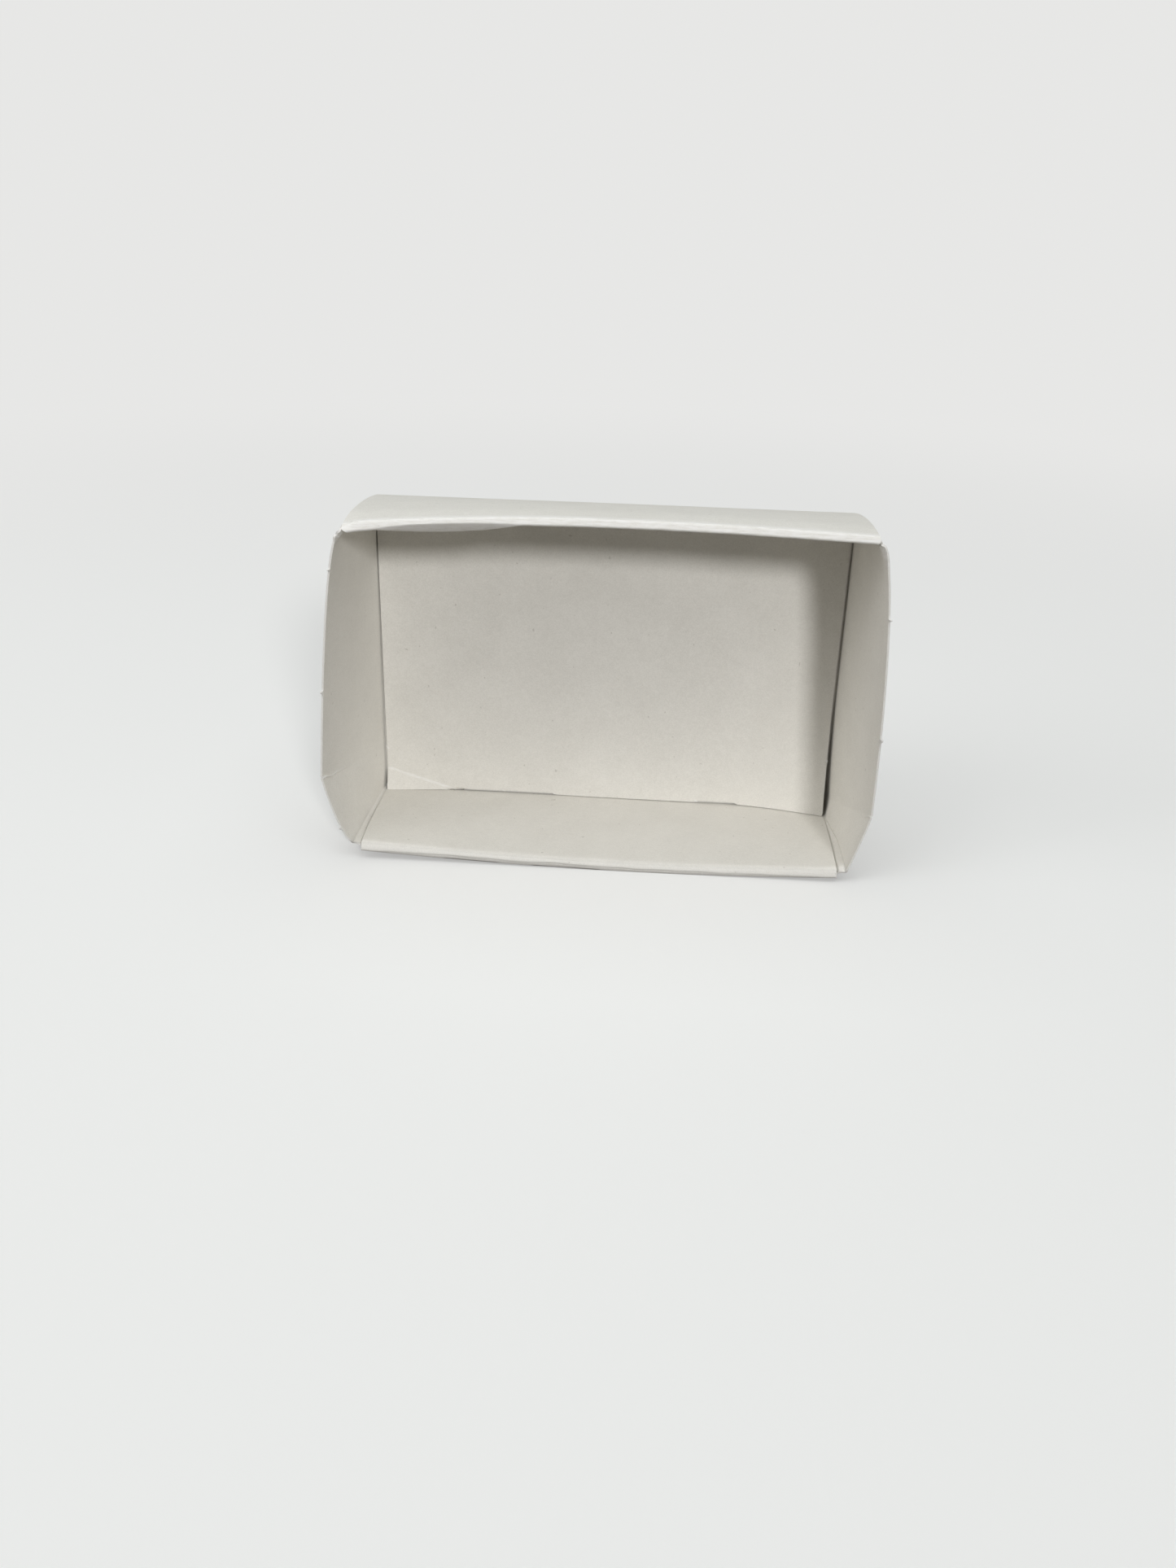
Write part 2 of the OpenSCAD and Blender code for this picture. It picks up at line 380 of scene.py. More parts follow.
# The long strip: lower rolled wall, base, upper rolled wall
def roll_strip(bm):
    known = set()
    panels = {}
    depth = INNER_BACK - FOLD_IN
    rim = RIM_W - 2 * FOLD_IN
    row = first_row(
        bm, (-HALF_L, INNER_BACK, RIM_W - HALF_T), (HALF_L, INNER_BACK, RIM_W - HALF_T), LONG_N
    )
    row = push(bm, row, (0, -depth, 0), DEPTH_N)
    row = crease(bm, row, (0, FOLD_IN, RIM_W - FOLD_IN), (1, 0, 0), 90)
    row = push(bm, row, (0, 0, -rim), RIM_N)
    row = crease(bm, row, (0, FOLD_IN, FOLD_IN), (1, 0, 0), 90)
    row = push(bm, row, (0, FOLD_Y - FOLD_IN, 0), DEPTH_N)
    row = crease(bm, row, (0, FOLD_Y, FOLD_IN), (1, 0, 0), 90)
    panels["lower"] = fresh(bm, known)

    levels = [WALL_LOW]
    levels += [mix(WALL_LOW, KINK_ROW, (i / LOW_N) ** LOW_CROWD) for i in range(1, LOW_N + 1)]
    levels += [
        mix(WALL_HIGH, KINK_ROW, (1 - i / HIGH_N) ** HIGH_CROWD) for i in range(1, HIGH_N + 1)
    ]
    levels += [KINK_ROW + off for off in KINK_ROWS]
    levels.sort()
    level = FOLD_IN
    for z in levels:
        row = push(bm, row, (0, 0, z - level))
        level = z
    panels["base"] = fresh(bm, known)

    row = push(bm, row, (0, 0, BOX_H - FOLD_IN - level))
    row = crease(bm, row, (0, FOLD_Y, BOX_H - FOLD_IN), (1, 0, 0), 90)
    row = push(bm, row, (0, FOLD_IN - FOLD_Y, 0), DEPTH_N)
    row = crease(bm, row, (0, FOLD_IN, BOX_H - FOLD_IN), (1, 0, 0), 90)
    row = push(bm, row, (0, 0, -rim), RIM_N)
    row = crease(bm, row, (0, FOLD_IN, BOX_H - RIM_W + FOLD_IN), (1, 0, 0), 90)
    row = push(bm, row, (0, FLAP_START - FOLD_IN, 0), DEPTH_N)
    panels["upper"] = fresh(bm, known)
    return panels, known


# A short wall rises from the base's end, and its tabs turn in from its two ends
def raise_short_wall(bm, side, panels, known):
    row = edges_where(
        bm,
        lambda p: abs(p.x - side * HALF_L) < TINY
        and abs(p.y - BASE_Y) < TINY
        and WALL_LOW - TINY < p.z < WALL_HIGH + TINY,
    )
    turn_x = side * (WALL_X - FOLD_R)
    row = push(bm, row, (turn_x - side * HALF_L, 0, 0))
    row = crease(bm, row, (turn_x, FOLD_Y, 0), (0, 0, 1), -90 * side)
    depth = FOLD_Y
    for i in range(1, WALL_N + 1):
        next_depth = FOLD_Y * (1 - i / WALL_N) ** WALL_CROWD
        row = push(bm, row, (0, next_depth - depth, 0))
        depth = next_depth
    panels["wall", side] = fresh(bm, known)

    for end, z in ((-1, WALL_LOW), (1, WALL_HIGH)):
        row = edges_where(
            bm,
            lambda p: abs(p.x - side * WALL_X) < TINY
            and abs(p.z - z) < TINY
            and p.y < FOLD_Y + TINY,
        )
        tab_x = side * (WALL_X - TAB_FOLD_R[side])
        row = crease(bm, row, (tab_x, 0, z), (0, 1, 0), -90 * side * end)
        row = push(bm, row, (-side * STRIP_W, 0, 0), STRIP_N)
        row = push(bm, row, (-side * (TAB_L - STRIP_W), 0, 0), TAB_N)
        panels["tab", side, end] = fresh(bm, known)


# The folds at a short wall's foot and head: how far they stand out, and their heights
def strip_share(y):
    return ease((STRIP_FROM - y) / (STRIP_FROM - STRIP_TO))


def strip_out(side, y):
    off_base = ease((BASE_Y - y) / (BASE_Y - STRIP_FROM))
    return off_base * mix(STRIP_BACK[side], STRIP_OUT[side], strip_share(y))


# The strip lies nearly level, and dips steeply where it goes under the layer
def strip_level(share):
    share = min(1.0, max(0.0, share))
    return mix(DIP_SHARE * ease(share / DIP_TO), 1, max(0.0, share - DIP_TO) / (1 - DIP_TO))


# Where the side edge of the lower inner layer lies at a depth
def layer_edge(side, y):
    return HALF_L + INNER_FLARE[side] * min(1.0, max(0.0, y) / INNER_FLARE_D)


def wall_foot(side, y):
    lift = foot_lift(side * HALF_L) * mouth_share(y)
    rise = mix(STRIP_RISE_BACK[side], STRIP_RISE[side], strip_share(y))
    return WALL_LOW + lift + rise - NOSE_FOOT[side] * ease(1 - y / NOSE_D[side])


def wall_head(side, y):
    return WALL_HIGH + top_rise(side * HALF_L, y) - HEAD_DROP[side] * ease(1 - y / HEAD_D)


# Where a level of the base falls on a short wall at a depth, and how far it bulges there
def wall_level(side, y, z):
    s = mouth_share(y)
    bulge = s * BULGE[side]
    kink = mix(KINK_BACK[side], KINK[side], s)
    if z <= KINK_ROW:
        up = max(0.0, (z - WALL_LOW) / (KINK_ROW - WALL_LOW))
        return mix(wall_foot(side, y), kink, up), mix(strip_out(side, y), bulge, up ** FALL[side])
    down = (WALL_HIGH - z) / (WALL_HIGH - KINK_ROW)
    swell = max(0.0, 1 - (1 - down) ** ROUND[side])
    return mix(wall_head(side, y), kink, down), bulge * math.sqrt(swell)


def spread_at(side, z):
    return SPREAD[side] * (1 - z / BOX_H)


# The lower rim rounds off above its ridge and is drawn under below it
def ridge_lower_rim(verts):
    for v in verts:
        x, y, z = v.co
        if y > FOLD_IN - TINY:
            continue
        up = rim_share(z)
        ridge = mix(RIDGE_AT[-1], RIDGE_AT[1], ease(0.5 + x / RIDGE_TURN))
        ridge *= math.sqrt(max(0.0, 1 - (x / RIDGE_HALF) ** 4))
        ridge = max(0.0, ridge + ripple(x, RIDGE_WAVES))
        push_in = RIM_UNDER * max(0.0, ridge - up)
        push_in += RIM_BACK * (max(0.0, up - ridge) / (1 - ridge)) ** 2
        furrow = math.exp(-(((up - ridge + FURROW_BELOW) / FURROW_W) ** 2))
        furrow *= ease(ridge / FURROW_FROM) * (FURROW_MEAN + ripple(x, FURROW_WAVES))
        push_in += FURROW * furrow
        v.co.y = y + push_in * min(1.0, (FOLD_IN - y) / FOLD_R)


# How near a point lies to the mouth, for what only shapes a rim
def rim_near(y):
    return max(0.0, 1 - max(0.0, y - FOLD_IN) / RIM_LEAN_D)


def bow_lower_wall(verts):
    for v in verts:
        x, y, z = v.co
        up = rim_share(z)
        flare = layer_edge(-1 if x < 0 else 1, y) - HALF_L
        v.co.x += flare * up * x / HALF_L
        if abs(x) > HALF_L - ON_ROW:
            v.co.x += CORNER_OUT * x / HALF_L * ease((y - FOLD_Y) / HALF_T + 1)
        v.co.y += LOWER_LEAN * up * rim_near(y)
        raised = INNER_LIFT * up * ease(y / BOX_D) * ease(0.5 - x / INNER_LIFT_L)
        v.co.z += foot_lift(x) * mouth_share(y) + raised


# The upper rim leans back, and its lower part is drawn under where the inner layer sags
def flare_upper_wall(verts):
    for v in verts:
        x, y, z = v.co
        down = rim_share(BOX_H - z)
        share = sag_share(x, y, BOX_H - z)
        near = rim_near(y)
        wave = ripple(x, RIM_WAVES)
        left = near * (1 - down) * ease(1 - (x + HALF_L) / LEFT_END_L)
        right = near * max(0.0, 1 - (HALF_L - x) / END_L)
        end = near * max(0.0, 1 - (x + HALF_L) / END_L)
        v.co.x += end * (LEFT_END_ROUND * max(0.0, 2 * down - 1) ** 3 - LEFT_END_OUT)
        v.co.x += right * (RIGHT_END_OUT - RIGHT_END_ROUND * abs(2 * down - RIGHT_END_MID) ** 3)
        v.co.y += SAG_BACK * share + near * (RIM_LEAN * (1 - down) + wave) + LEFT_END_BACK * left
        v.co.z += top_rise(x, y) - SAG * share + wave * near * down
        v.co.z -= RIM_DROP * near * (1 - down) + LEFT_END_DROP * left
        v.co.z -= LEFT_LOW * near * down * ease(1 - (x + HALF_L) / LEFT_LOW_L)


def level_base(verts):
    for v in verts:
        share = (v.co.x + HALF_L) / BOX_L
        left = wall_level(-1, BASE_Y, v.co.z)[0]
        right = wall_level(1, BASE_Y, v.co.z)[0]
        v.co.z = mix(left, right, share)


def bulge_short_wall(verts, side):
    for v in verts:
        x, y, z = v.co
        level, out = wall_level(side, y, z)
        base_level = wall_level(side, BASE_Y, z)[0]
        fade = math.sqrt(max(0.0, 1 - y / CREASE_D[side]))
        if abs(z - KINK_ROW) < ON_ROW:
            swell = 1 + CREASE_SWELL * math.cos(math.tau * y / CREASE_SWELL_L)
            out -= CREASE_IN[side] * fade * swell
        if abs(z - KINK_ROW) < CREASE_BAND:
            level += fade * ripple(y, CREASE_WAVES)
        lip = ease(1 - (wall_head(side, y) - level) / LIP_H[side])
        turned = ease(1 - y / LIP_W)
        sunk = LIP_IN[side] * lip * (1 - turned) * ease(1 - y / LIP_D)
        out = max(0.0, out - sunk) + LIP_OUT * lip * turned
        v.co.x = x + side * (out + spread_at(side, base_level))
        v.co.z = level


def tuck_tab(verts, side, end):
    for v in verts:
        x, y, z = v.co
        below = z if end < 0 else BOX_H - z
        turned = math.asin(min(1.0, (WALL_LOW - below) / TAB_FOLD_R[side])) / (math.pi / 2)
        inward = max(0.0, WALL_X - TAB_FOLD_R[side] - side * x)
        shown = max(0.0, 1 - inward / STRIP_W)
        inset = TAB_INSET + TAB_TAPER * inward / TAB_L
        front = inset - (NOSE_FORE[side] * shown if end < 0 else 0)
        tab_y = mix(front, BOX_D - CARD_T - inset, y / FOLD_Y)
        y = mix(y, tab_y, turned)
        if end < 0:
            fold_x = SPREAD[side] + strip_out(side, y)
            edge = layer_edge(side, y)
            width = WALL_X - TAB_FOLD_R[side] + fold_x - edge
            fold_z = z - WALL_LOW + wall_foot(side, y)
            fold_z -= NOSE_DROP[side] * turned * ease(1 - (y - front) / NOSE_D[side])
            fold_z -= GROOVE[side] * math.sin(math.pi * turned) * ease(y / STRIP_TO)
            hidden_z = TAB_UNDER + foot_lift(x) * mouth_share(y)
            risen = strip_level((side * x + shown * fold_x - edge) / max(STRIP_LEAST, width))
        else:
            fold_x = HEAD_OUT
            fold_z = z - WALL_HIGH + wall_head(side, y)
            hidden_z = z + top_rise(x, y) - SAG * sag_share(x, y, below)
            risen = shown
        v.co = (x + side * shown * fold_x, y, mix(hidden_z, fold_z, risen))


# A kink's crease is whitened, as rubbed card and as painted highlight along the crease, and sharp in the
# half of its run that is nearer the mouth
def crease_kink(bm, verts, side):
    layer = bm.verts.layers.float["wear_and_highlight"]
    for v in verts:
        if abs(v.co.z - KINK_ROW) < ON_ROW:
            v[layer] = CREASE_WEAR_AND_HIGHLIGHT[side] * ease(1 - v.co.y / CREASE_D[side])
            for edge in v.link_edges:
                along = abs(edge.other_vert(v).co.z - KINK_ROW) < ON_ROW
                edge.smooth = edge.smooth and not (along and v.co.y < CREASE_D[side] / 2)


# Small damage: a crushed corner, rubbed places, and stubs left by the die, in the tray's frame; the whitened
# spots at the rim ends, the right wall's top fold and the right strip's nose are also painted highlight on
# those rounded ends
CRUMPLE_AT = (-51.1, 0.3, 69.6)
CRUMPLE_R = 2.2
CRUMPLE_SIZE = 0.7
CRUMPLE_HIGH = 0.45
CRUMPLE_SEED = 5
# Whitening of the rims: rubbed card, and painted highlight where the rims face the light, full on the upper
# rim
RIM_WEAR_AND_HIGHLIGHT = {"lower": 0.2, "upper": 1.0}
RUBS_AND_HIGHLIGHTS = (
    (CRUMPLE_AT, CRUMPLE_R, 1.0),
    ((51.4, 0.0, 71.2), 1.5, 1.0),
    ((52.1, 0.0, 69.8), 1.4, 1.0),
    ((52.6, 0.0, 68.2), 1.2, 0.9),
    ((51.3, 1.2, 2.5), 1.7, 1.0),
    ((50.2, 0.0, 2.2), 1.3, 1.0),
    ((-50.3, 0.0, 3.0), 1.3, 1.0),
    ((38.0, 0.0, 72.9), 4.0, 1.0),
    ((-53.4, 0.0, 7.2), 1.2, 0.8),
)
TRAY_NICKS = (
    ((53.8, 0, 57.7), (0.4, -0.15, 0)),
    ((55.5, 0, 32.5), (0.35, -0.15, 0)),
    ((-56.4, 0, 37.5), (-0.4, -0.15, 0)),
    ((-53.2, 0, 62.9), (-0.3, -0.15, 0)),
    ((-53.9, 0, 7.2), (-0.4, -0.15, -0.1)),
)
FLAP_NICKS = (
    ((50.2, 29.5, 14.8), (0.2, 0, 0)),
    ((-50.2, 30.9, 13.1), (-0.2, 0, 0)),
    ((-36.0, 30.9, 2.3), (0, 0, -0.15)),
    ((-22.9, 30.9, 2.3), (0, 0, -0.15)),
    ((-11.7, 30.9, 2.3), (0, 0, -0.15)),
    ((21.7, 30.9, 2.3), (0, 0, -0.15)),
)


# Vector noise draws on a seed, which is set so that the corner comes out the same every run
def crumple(bm, centre, radius):
    noise.seed_set(CRUMPLE_SEED)
    for v in bm.verts:
        share = ease(1 - (v.co - Vector(centre)).length / radius)
        if share > 0:
            v.co += CRUMPLE_HIGH * share * noise.noise_vector(v.co / CRUMPLE_SIZE)


# Finishing of a sheet: from the tray's own frame to the shared frame, then its thickness
def to_row(p):
    return Vector(((p[0] + MID_X) * MM, (p[1] - BOX_D / 2) * MM, p[2] * MM))


def card_sheet(bm, name):
    bmesh.ops.recalc_face_normals(bm, faces=bm.faces[:])
    for v in bm.verts:
        v.co = to_row(v.co)
    for face in bm.faces:
        face.smooth = True
    for edge in bm.edges:
        edge.smooth = edge.smooth and not edge.is_boundary
    mesh = bpy.data.meshes.new(name)
    bm.to_mesh(mesh)
    bm.free()
    piece = bpy.data.objects.new(name, mesh)
    bpy.context.collection.objects.link(piece)
    mesh.materials.append(card_face)
    mesh.materials.append(cut_edge_with_highlight)
    thickness = piece.modifiers.new("card thickness", "SOLIDIFY")
    thickness.thickness = CARD_T * MM
    thickness.offset = 0
    thickness.material_offset_rim = 1
    return piece


# Finishes: size of each texture in millimetres and its detail, and the shares that mix them
CLOUD = (9.0, 2.0)
FELT = (1.1, 4.0)
FIBRE = (0.26, 3.0)
BRAN = (0.9, 0.0)
STREAK = (0.3, 2.0)
STREAK_ALONG = (0.12, 1, 1)
NOISE_ROUGHNESS = 0.6
CLOUD_SHARE = 0.65
FIBRE_SHARE = 1.7
PULP_RANGE = (1.1, 1.9)
BRAN_RANGE = (0.84, 0.87)
BRAN_DARK = 0.35
FRAY_RANGE = (0.36, 0.6)
FRAY_LEAST = 0.25
FELT_RANGE = (0.3, 0.7)
GLOSS_RANGE = (0.68, 0.84)
FIBRE_RELIEF = (0.6, 1.6)
RELIEF_MM = 0.06
CARD_IOR = 1.4


def add_node(tree, kind, **inputs):
    node = tree.nodes.new("ShaderNode" + kind)
    for name, value in inputs.items():
        node.inputs[name.replace("_", " ")].default_value = value
    return node


def card_noise(tree, place, size_mm, detail):
    node = add_node(tree, "TexNoise", Scale=1 / (size_mm * MM), Detail=detail)
    node.inputs["Roughness"].default_value = NOISE_ROUGHNESS
    tree.links.new(place, node.inputs["Vector"])
    return node.outputs["Fac"]


def blend_values(tree, operation, first, second):
    node = tree.nodes.new("ShaderNodeMath")
    node.operation = operation
    for socket, value in zip(node.inputs, (first, second)):
        if isinstance(value, float):
            socket.default_value = value
        else:
            tree.links.new(value, socket)
    return node.outputs["Value"]


def between(tree, value, low_high, to_low_high):
    node = tree.nodes.new("ShaderNodeMapRange")
    for name, limit in zip(("From Min", "From Max", "To Min", "To Max"), low_high + to_low_high):
        node.inputs[name].default_value = limit
    tree.links.new(value, node.inputs["Value"])
    return node.outputs["Result"]


def blend_colours(tree, share, first, second):
    node = tree.nodes.new("ShaderNodeMix")
    node.data_type = "RGBA"
    tree.links.new(share, node.inputs[0])
    for socket, colour in zip(node.inputs[6:8], (first, second)):
        if isinstance(colour, tuple):
            socket.default_value = colour
        else:
            tree.links.new(colour, socket)
    return node.outputs[2]


# Uncoated white card: cloudy pulp, fine felt, fibres and a few bran specks; rubbed folds are whiter, and the
# same whiter colour is painted highlight where the wear attribute also marks one
def card_finish(name, dull, clear, rubbed_and_highlight, specked, relief):
    material = bpy.data.materials.new(name)
    material.use_nodes = True
    tree = material.node_tree
    shader = tree.nodes["Principled BSDF"]
    shader.inputs["IOR"].default_value = CARD_IOR
    place = tree.nodes.new("ShaderNodeTexCoord").outputs["Object"]
    along = add_node(tree, "Mapping", Scale=STREAK_ALONG)
    tree.links.new(place, along.inputs["Vector"])
    cloud = card_noise(tree, place, *CLOUD)
    felt = card_noise(tree, place, *FELT)
    fibre = card_noise(tree, place, *FIBRE)
    bran = card_noise(tree, place, *BRAN)
    streak = card_noise(tree, along.outputs["Vector"], *STREAK)
    pulp = blend_values(tree, "MULTIPLY", blend_values(tree, "ADD", cloud, felt), CLOUD_SHARE)
    pulp = blend_values(tree, "ADD", pulp, blend_values(tree, "MULTIPLY", fibre, FIBRE_SHARE))
    colour = blend_colours(tree, between(tree, pulp, PULP_RANGE, (0.0, 1.0)), dull, clear)
    specks = between(tree, bran, BRAN_RANGE, (0.0, BRAN_DARK))
    colour = blend_colours(tree, specks, colour, specked)
    wear_and_highlight_layer = tree.nodes.new("ShaderNodeAttribute")
    wear_and_highlight_layer.attribute_name = "wear_and_highlight"
    wear_and_highlight = wear_and_highlight_layer.outputs["Fac"]
    fray = between(tree, streak, FRAY_RANGE, (FRAY_LEAST, 1.0))
    whitening = blend_values(tree, "MULTIPLY", fray, wear_and_highlight)
    colour = blend_colours(tree, whitening, colour, rubbed_and_highlight)
    tree.links.new(colour, shader.inputs["Base Color"])
    tree.links.new(between(tree, felt, FELT_RANGE, GLOSS_RANGE), shader.inputs["Roughness"])
    standing = between(tree, wear_and_highlight, (0.0, 1.0), FIBRE_RELIEF)
    rough = blend_values(tree, "MULTIPLY", fibre, standing)
    rough = blend_values(tree, "ADD", rough, felt)
    rough = blend_values(tree, "ADD", rough, whitening)
    bump = add_node(tree, "Bump", Strength=relief, Distance=RELIEF_MM * MM)
    tree.links.new(rough, bump.inputs["Height"])
    tree.links.new(bump.outputs["Normal"], shader.inputs["Normal"])
    return material


card_face = card_finish(
    "white_card",
    dull=(0.77, 0.748, 0.695, 1),
    clear=(0.87, 0.848, 0.795, 1),
    rubbed_and_highlight=(0.93, 0.915, 0.885, 1),
    specked=(0.42, 0.39, 0.34, 1),
    relief=0.3,
)
# Cut edges: raw card a little lighter than the faces, and lighter still as painted highlight for the thin
# edges that catch the light
cut_edge_with_highlight = card_finish(
    "cut_card_edge_with_highlight",
    dull=(0.82, 0.80, 0.76, 1),
    clear=(0.89, 0.872, 0.835, 1),
    rubbed_and_highlight=(0.91, 0.895, 0.865, 1),
    specked=(0.55, 0.52, 0.47, 1),
    relief=0.6,
)


# Tray
tray_bm = new_sheet()
tray_panels, tray_known = roll_strip(tray_bm)
for wall_side in (-1, 1):
    raise_short_wall(tray_bm, wall_side, tray_panels, tray_known)
# The rims are whitened: rubbed card and painted highlight
for panel, amount in RIM_WEAR_AND_HIGHLIGHT.items():
    whiten_verts(tray_bm, [v for v in tray_panels[panel] if v.co.y < FOLD_IN], amount)
ridge_lower_rim(tray_panels["lower"])
bow_lower_wall(tray_panels["lower"])
level_base(tray_panels["base"])
flare_upper_wall(tray_panels["upper"])
for wall_side in (-1, 1):
    crease_kink(tray_bm, tray_panels["wall", wall_side], wall_side)
    bulge_short_wall(tray_panels["wall", wall_side], wall_side)
    for tab_end in (-1, 1):
        tuck_tab(tray_panels["tab", wall_side, tab_end], wall_side, tab_end)
crumple(tray_bm, CRUMPLE_AT, CRUMPLE_R)
# Whitened spots: rubbed card, and painted highlight at the rounded ends
for place, radius, amount in RUBS_AND_HIGHLIGHTS:
    whiten_spot(tray_bm, place, radius, amount)
for place, out in TRAY_NICKS:
    nick(tray_bm, place, out)
tray_sheet = card_sheet(tray_bm, "folded_card_tray")
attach(tray_sheet, "tray")
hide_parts("folded_tray")


# Floor flap
def bend_at(x, z):
    return BEND_OUT * max(0.0, 1 - (x + FLAP_HALF) / BEND_W - (z - FLAP_FOOT) / BEND_H)


def curl_at(x, z):
    across = max(0.0, 1 - (FLAP_HALF - x) / CURL_W)
    up = max(0.0, 1 - (z - FLAP_FOOT) / CURL_H)
    return CURL_OUT * across ** CURL_ACROSS * up ** CURL_UP


# The flap's lower edge is cut a little askew, and some stretches stop short of the layer below
def lift_foot(bm):
    for v in bm.verts:
        if v.co.z < FLAP_FOOT + ON_ROW:
            v.co.z += mix(FOOT_TILT[-1], FOOT_TILT[1], ease(0.5 + v.co.x / FOOT_TILT_L))
            if any(a < v.co.x < b for a, b in FLAP_LIFTED):
                v.co.z += FLAP_LIFT


def round_corner(bm):
    corner = min(bm.verts, key=lambda v: (v.co - Vector((FLAP_HALF, FLAP_Y, FLAP_FOOT))).length)
    bmesh.ops.bevel(
        bm,
        geom=[corner],
        offset=FLAP_CORNER_R,
        affect="VERTICES",
        segments=CORNER_N,
        profile=0.5,
        material=-1,
    )


# The cuts along the bend merge with close vertices in sorted order, so every run keeps the same ones
def hang_flap():
    bm = new_sheet()
    layer_z = BOX_H - RIM_W + HALF_T
    fold_y = FLAP_Y - FOLD_R
    row = first_row(
        bm, (-FLAP_HALF, FLAP_START, layer_z), (FLAP_HALF, FLAP_START, layer_z), FLAP_N
    )
    row = push(bm, row, (0, fold_y - FLAP_START, 0))
    row = crease(bm, row, (0, fold_y, layer_z - FOLD_R), (1, 0, 0), -90)
    row = push(bm, row, (0, 0, -FLAP_ROOT_H), FLAP_ROOT_N)
    row = push(bm, row, (0, 0, FLAP_FOOT - (layer_z - FOLD_R - FLAP_ROOT_H)), FLAP_DOWN_N)
    across_bend = Vector((1 / BEND_W, 0, 1 / BEND_H)).normalized()
    bend_line = Vector((-FLAP_HALF + BEND_W, FLAP_Y, FLAP_FOOT))
    for off in BEND_CUTS:
        bmesh.ops.bisect_plane(
            bm,
            geom=bm.verts[:] + bm.edges[:] + bm.faces[:],
            plane_co=bend_line + off * across_bend,
            plane_no=across_bend,
            dist=CUT_SNAP,
        )
    in_order = sorted(bm.verts, key=lambda v: v.co[:])
    bmesh.ops.remove_doubles(bm, verts=in_order, dist=CUT_MERGE)
    on_bend = [
        v
        for v in bm.verts
        if abs((v.co - bend_line).dot(across_bend)) < BEND_RUB_W
        and v.co.z < FLAP_FOOT + BEND_H + BEND_RUB_UP
    ]
    whiten_verts(bm, on_bend, BEND_WEAR)
    lift_foot(bm)
    round_corner(bm)
    for v in bm.verts:
        x, y, z = v.co
        side = -1 if x < 0 else 1
        down = max(0.0, (HINGE_Z - z) / (HINGE_Z - FLAP_FOOT))
        v.co.x -= mix(FLAP_IN_HEAD[side], FLAP_IN_FOOT[side], down) * x / FLAP_HALF
        if z < HINGE_Z:
            v.co.y = y - bend_at(x, z) - curl_at(x, z)
    for place, out in FLAP_NICKS:
        nick(bm, place, out)
    return card_sheet(bm, "folded_card_flap")


flap_sheet = hang_flap()
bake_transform(flap_sheet, "tray", "flap", to_row((0, FLAP_Y, 68.5)), to_row((0, FLAP_Y, 67.5)))
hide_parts("floor_flap")


# Studio: a pale floor that runs into a pale background, one soft window light from the front
# right, and broad panels above, in front and at the sides
AIM = Vector((0, 0, 0.035))
PALE = (0.80, 0.80, 0.79, 1)
FLOOR_PAPER = (0.70, 0.70, 0.69, 1)
FLOOR_GLOW = (1, 1, 0.99, 1)
FLOOR_BOUNCE = (0.15, 0.14, 0.13, 1)
FLOOR_FILL = 0.27
FLOOR_RANGE = (0.12, 0.6)
FLOOR_R = 6.0
FLOOR_N = 96
WINDOW_FROM = Vector((0.34, -1, 0.457))
WINDOW_POWER = 1.42
WINDOW_ANGLE = 9
AMBIENT = (1, 0.97, 0.92, 1)
AMBIENT_POWER = 0.045


def seen_directly(tree):
    path = tree.nodes.new("ShaderNodeLightPath")
    seen = blend_values(
        tree, "MAXIMUM", path.outputs["Is Camera Ray"], path.outputs["Is Glossy Ray"]
    )
    return blend_values(tree, "MAXIMUM", seen, path.outputs["Is Transmission Ray"])


def choose_shader(tree, share, first, second):
    node = tree.nodes.new("ShaderNodeMixShader")
    tree.links.new(share, node.inputs[0])
    tree.links.new(first.outputs[0], node.inputs[1])
    tree.links.new(second.outputs[0], node.inputs[2])
    return node


def studio_floor():
    bm = bmesh.new()
    bmesh.ops.create_circle(bm, cap_ends=True, segments=FLOOR_N, radius=FLOOR_R)
    mesh = bpy.data.meshes.new("studio_floor")
    bm.to_mesh(mesh)
    bm.free()
    floor = bpy.data.objects.new("studio_floor", mesh)
    bpy.context.collection.objects.link(floor)
    material = bpy.data.materials.new("pale_floor")
    material.use_nodes = True
    tree = material.node_tree
    tree.nodes.remove(tree.nodes["Principled BSDF"])
    paper = add_node(tree, "BsdfDiffuse", Color=FLOOR_PAPER)
    fill = add_node(tree, "Emission", Color=FLOOR_GLOW, Strength=FLOOR_FILL)
    lit = tree.nodes.new("ShaderNodeAddShader")
    tree.links.new(paper.outputs[0], lit.inputs[0])
    tree.links.new(fill.outputs[0], lit.inputs[1])
    background = add_node(tree, "Emission", Color=PALE, Strength=1.0)
    place = tree.nodes.new("ShaderNodeTexCoord")
    reach_out = tree.nodes.new("ShaderNodeVectorMath")
    reach_out.operation = "LENGTH"
    tree.links.new(place.outputs["Object"], reach_out.inputs[0])
    far = between(tree, reach_out.outputs["Value"], FLOOR_RANGE, (0.0, 1.0))
    far.node.interpolation_type = "SMOOTHSTEP"
    shown = choose_shader(tree, far, lit, background)
    bounce = add_node(tree, "BsdfDiffuse", Color=FLOOR_BOUNCE)
    whole = choose_shader(tree, seen_directly(tree), bounce, shown)
    tree.links.new(whole.outputs[0], tree.nodes["Material Output"].inputs["Surface"])
    mesh.materials.append(material)


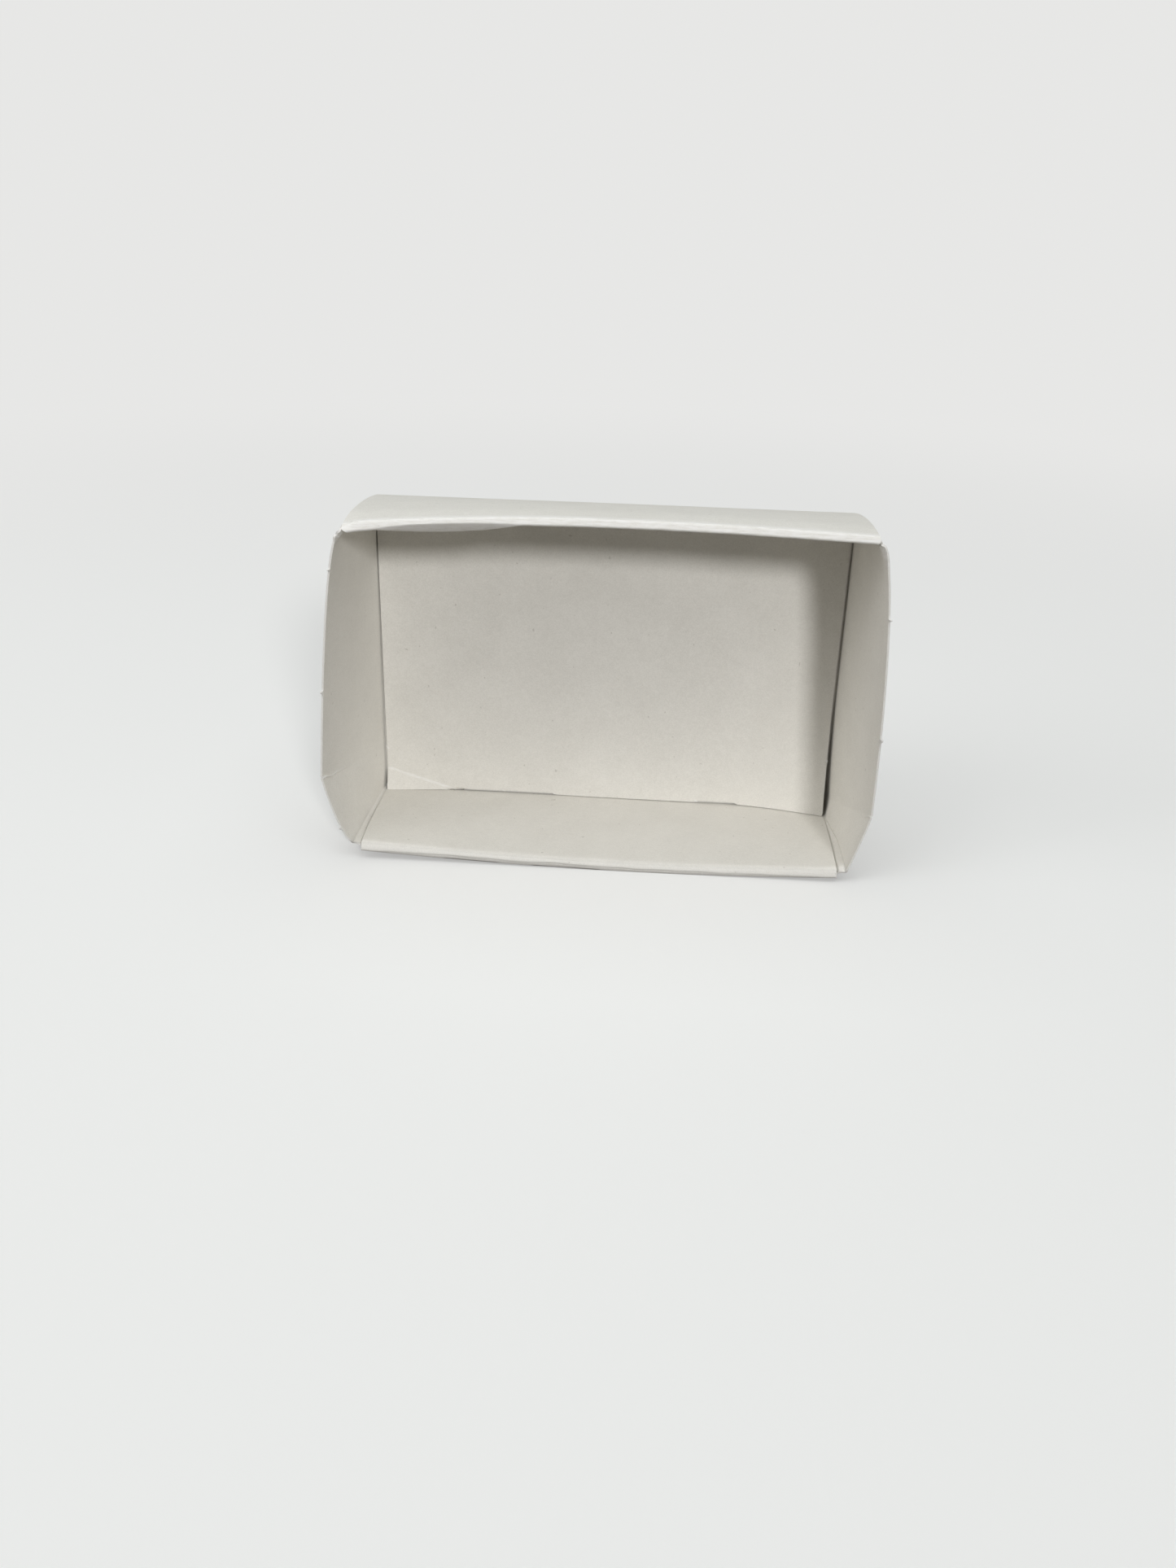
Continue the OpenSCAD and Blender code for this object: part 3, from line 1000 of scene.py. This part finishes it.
def soft_panel(name, place, width, height, power, colour=(1, 1, 1)):
    lamp = bpy.data.lights.new(name, "AREA")
    lamp.shape = "RECTANGLE"
    lamp.size = width
    lamp.size_y = height
    lamp.energy = power
    lamp.color = colour
    panel = bpy.data.objects.new(name, lamp)
    bpy.context.collection.objects.link(panel)
    panel.location = place
    panel.rotation_euler = (Vector(place) - AIM).to_track_quat("Z", "Y").to_euler()
    panel.visible_camera = False


studio_floor()
soft_panel("panel_above", (0, 0, 1.2), 1.4, 1.4, 6.9, (0.95, 1, 1))
soft_panel("panel_high_front", (0, -0.5, 1.1), 1.2, 0.5, 1.35)
soft_panel("panel_high_left", (-0.7, -0.6, 0.9), 0.6, 0.5, 1.65)
soft_panel("panel_left", (-1.1, -0.4, 0.4), 0.6, 0.5, 2.85)
soft_panel("panel_right", (1.1, -0.4, 0.4), 0.6, 0.5, 0.4)

window = bpy.data.lights.new("window_light", "SUN")
window.energy = WINDOW_POWER
window.angle = math.radians(WINDOW_ANGLE)
window_lamp = bpy.data.objects.new("window_light", window)
bpy.context.collection.objects.link(window_lamp)
window_lamp.rotation_euler = WINDOW_FROM.to_track_quat("Z", "Y").to_euler()

world = bpy.data.worlds.new("studio_world")
world.use_nodes = True
world_tree = world.node_tree
ambient = world_tree.nodes["Background"]
ambient.inputs["Color"].default_value = AMBIENT
ambient.inputs["Strength"].default_value = AMBIENT_POWER
backdrop = add_node(world_tree, "Background", Color=PALE, Strength=1.0)
sky = choose_shader(world_tree, seen_directly(world_tree), ambient, backdrop)
world_tree.links.new(sky.outputs[0], world_tree.nodes["World Output"].inputs["Surface"])
bpy.context.scene.world = world

# Camera at the photograph's viewing angle
CAMERA_AT = (0.00870, -0.25035, 0.13198)
CAMERA_X = (0.99808, 0.05596, 0.02646)
CAMERA_UP = (-0.04793, 0.42824, 0.90239)
CAMERA_BACK = (0.03917, -0.90193, 0.43010)
CAMERA_LENS = 29.25
camera = bpy.data.objects.new("photo_camera", bpy.data.cameras.new("photo_camera"))
bpy.context.collection.objects.link(camera)
camera.data.lens = CAMERA_LENS
camera.data.sensor_width = 36
camera.data.clip_start = 0.01
camera.matrix_world = Matrix.Translation(CAMERA_AT) @ Matrix(
    (CAMERA_X, CAMERA_UP, CAMERA_BACK)
).transposed().to_4x4()
bpy.context.scene.camera = camera
bpy.context.scene.view_settings.view_transform = "Standard"
